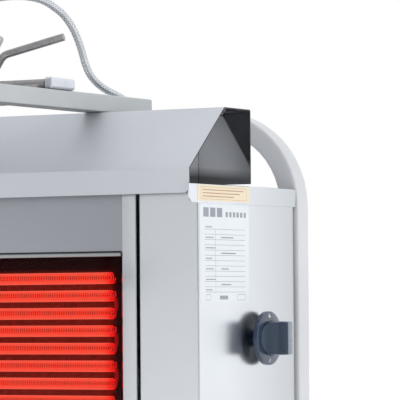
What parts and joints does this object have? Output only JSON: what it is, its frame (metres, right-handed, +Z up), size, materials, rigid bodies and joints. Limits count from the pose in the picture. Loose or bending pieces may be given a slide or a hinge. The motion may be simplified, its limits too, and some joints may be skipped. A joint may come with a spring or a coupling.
{
  "type": "vertical rotisserie broiler",
  "caption": "Upright electric rotisserie broiler: hooded steel body with glowing infrared zones, side knobs, and a motor on top rails turning a vertical spit over a drip tray.",
  "frame": {"origin": "on the floor, in the middle of the base's bounding box", "axes": "+Z up, +X to the machine's right (the side with the knobs), -Y forwards, towards the spit"},
  "size_m": [0.635, 0.66, 1.0784],
  "materials": {
    "satin_steel": "fine satin, slightly blue",
    "polished_steel": "bright, near-mirror rolled finish",
    "panel_steel": "dull rolled finish, darkened by heat",
    "frame_paint": "light grey satin powder coat",
    "rail_paint": "light grey satin coat",
    "bare_rod": "drawn, matt",
    "shoe_zinc": "matt, cast",
    "knob_plastic": "satin moulded, slate blue",
    "heater_glass": "dark ceramic glass",
    "heating_wire": "glowing red-orange coil, emissive",
    "ceramic_board": "dark fibre board",
    "rubber": "matt black",
    "cable_braid": "silver wire braid",
    "black_nylon": "moulded black",
    "plated_brass": "nickel plated",
    "gear_steel": "machined",
    "bearing_bronze": "machined bronze",
    "label_paper": null,
    "white_print": "white pad print"
  },
  "bodies": {
    "frame": {"back_panel": "satin_steel", "base_plinth": "satin_steel", "bearing_rail": "satin_steel", "cable_gland": "plated_brass", "foot_front_left": "rubber", "foot_front_right": "rubber", "foot_rear_left": "rubber", "foot_rear_right": "rubber", "glass_1": "heater_glass", "glass_2": "heater_glass", "glass_3": "heater_glass", "heater_board_1": "ceramic_board", "heater_board_2": "ceramic_board", "heater_board_3": "ceramic_board", "heating_element_1": "heating_wire", "heating_element_2": "heating_wire", "heating_element_3": "heating_wire", "hood_bulkhead_left": "panel_steel", "hood_bulkhead_right": "panel_steel", "hood_shell": "satin_steel", "lower_panel": "panel_steel", "mains_gland": "black_nylon", "motor_cable": "cable_braid", "rail_left": "rail_paint", "rail_right": "rail_paint", "rail_support": "satin_steel", "rear_bow": "frame_paint", "regulator_1": "black_nylon", "regulator_2": "black_nylon", "regulator_3": "black_nylon", "side_panel_left": "polished_steel", "side_panel_right": "polished_steel", "top_cap": "polished_steel", "upper_panel": "panel_steel", "window_bar_1": "polished_steel", "window_bar_2": "polished_steel", "window_bar_3": "polished_steel", "window_bar_4": "polished_steel", "window_strip_left": "polished_steel", "window_strip_right": "polished_steel"},
    "tray": {"drip_tray": "polished_steel"},
    "carriage": {"carriage_plate": "satin_steel", "cross_rod": "bare_rod", "shoe_left": "shoe_zinc", "shoe_right": "shoe_zinc", "clamp_bar": "gear_steel", "gearbox_case": "satin_steel", "motor_can": "satin_steel", "motor_gland": "plated_brass"},
    "clamp": {"clamp_handle": "bare_rod"},
    "spit": {"spit_gear": "gear_steel", "spit_rod": "polished_steel", "spit_disc": "polished_steel"},
    "retainer": {"top_retainer": "polished_steel"},
    "pinion": {"drive_pinion": "gear_steel"},
    "bearing": {"lower_bearing": "bearing_bronze"},
    "knob_1": {"heat_knob_1": "knob_plastic"},
    "knob_2": {"heat_knob_2": "knob_plastic"},
    "knob_3": {"heat_knob_3": "knob_plastic"},
    "switch": {"motor_switch": "knob_plastic"}
  },
  "joints": [
    {"name": "tray_slide", "type": "slide", "parent": "frame", "child": "tray", "axis": [0, -1, 0], "range_m": [0, 0.24]},
    {"name": "carriage_slide", "type": "slide", "parent": "frame", "child": "carriage", "axis": [0, 1, 0], "range_m": [-0.05, 0.05], "deforming": ["motor_cable"]},
    {"name": "bearing_slide", "type": "slide", "parent": "frame", "child": "bearing", "axis": [0, 1, 0], "range_m": [-0.05, 0.05]},
    {"name": "clamp_turn", "type": "hinge", "parent": "carriage", "child": "clamp", "pos_m": [0, 0.029, 0.98], "axis": [0, 0, 1], "range_deg": [-150, 150]},
    {"name": "spit_spin", "type": "hinge", "parent": "carriage", "child": "spit", "pos_m": [0, -0.195, 0.97], "axis": [0, 0, 1], "continuous": true},
    {"name": "pinion_spin", "type": "hinge", "parent": "carriage", "child": "pinion", "pos_m": [0, -0.147, 0.97], "axis": [0, 0, 1], "continuous": true},
    {"name": "retainer_slide", "type": "slide", "parent": "spit", "child": "retainer", "axis": [0, 0, 1], "range_m": [-0.4, 0.12]},
    {"name": "heat_knob_1_turn", "type": "hinge", "parent": "frame", "child": "knob_1", "pos_m": [0.275, 0.2, 0.6567], "axis": [-1, 0, 0], "range_deg": [0, 270]},
    {"name": "heat_knob_2_turn", "type": "hinge", "parent": "frame", "child": "knob_2", "pos_m": [0.275, 0.2, 0.4537], "axis": [-1, 0, 0], "range_deg": [0, 270]},
    {"name": "heat_knob_3_turn", "type": "hinge", "parent": "frame", "child": "knob_3", "pos_m": [0.275, 0.2, 0.2507], "axis": [-1, 0, 0], "range_deg": [0, 270]},
    {"name": "motor_switch_turn", "type": "hinge", "parent": "frame", "child": "switch", "pos_m": [0.275, 0.2, 0.16], "axis": [-1, 0, 0], "range_deg": [0, 90]}
  ],
  "couplings": [
    {"joint": "bearing_slide", "follows": "carriage_slide", "ratio": 1},
    {"joint": "pinion_spin", "follows": "spit_spin", "ratio": -3}
  ]
}
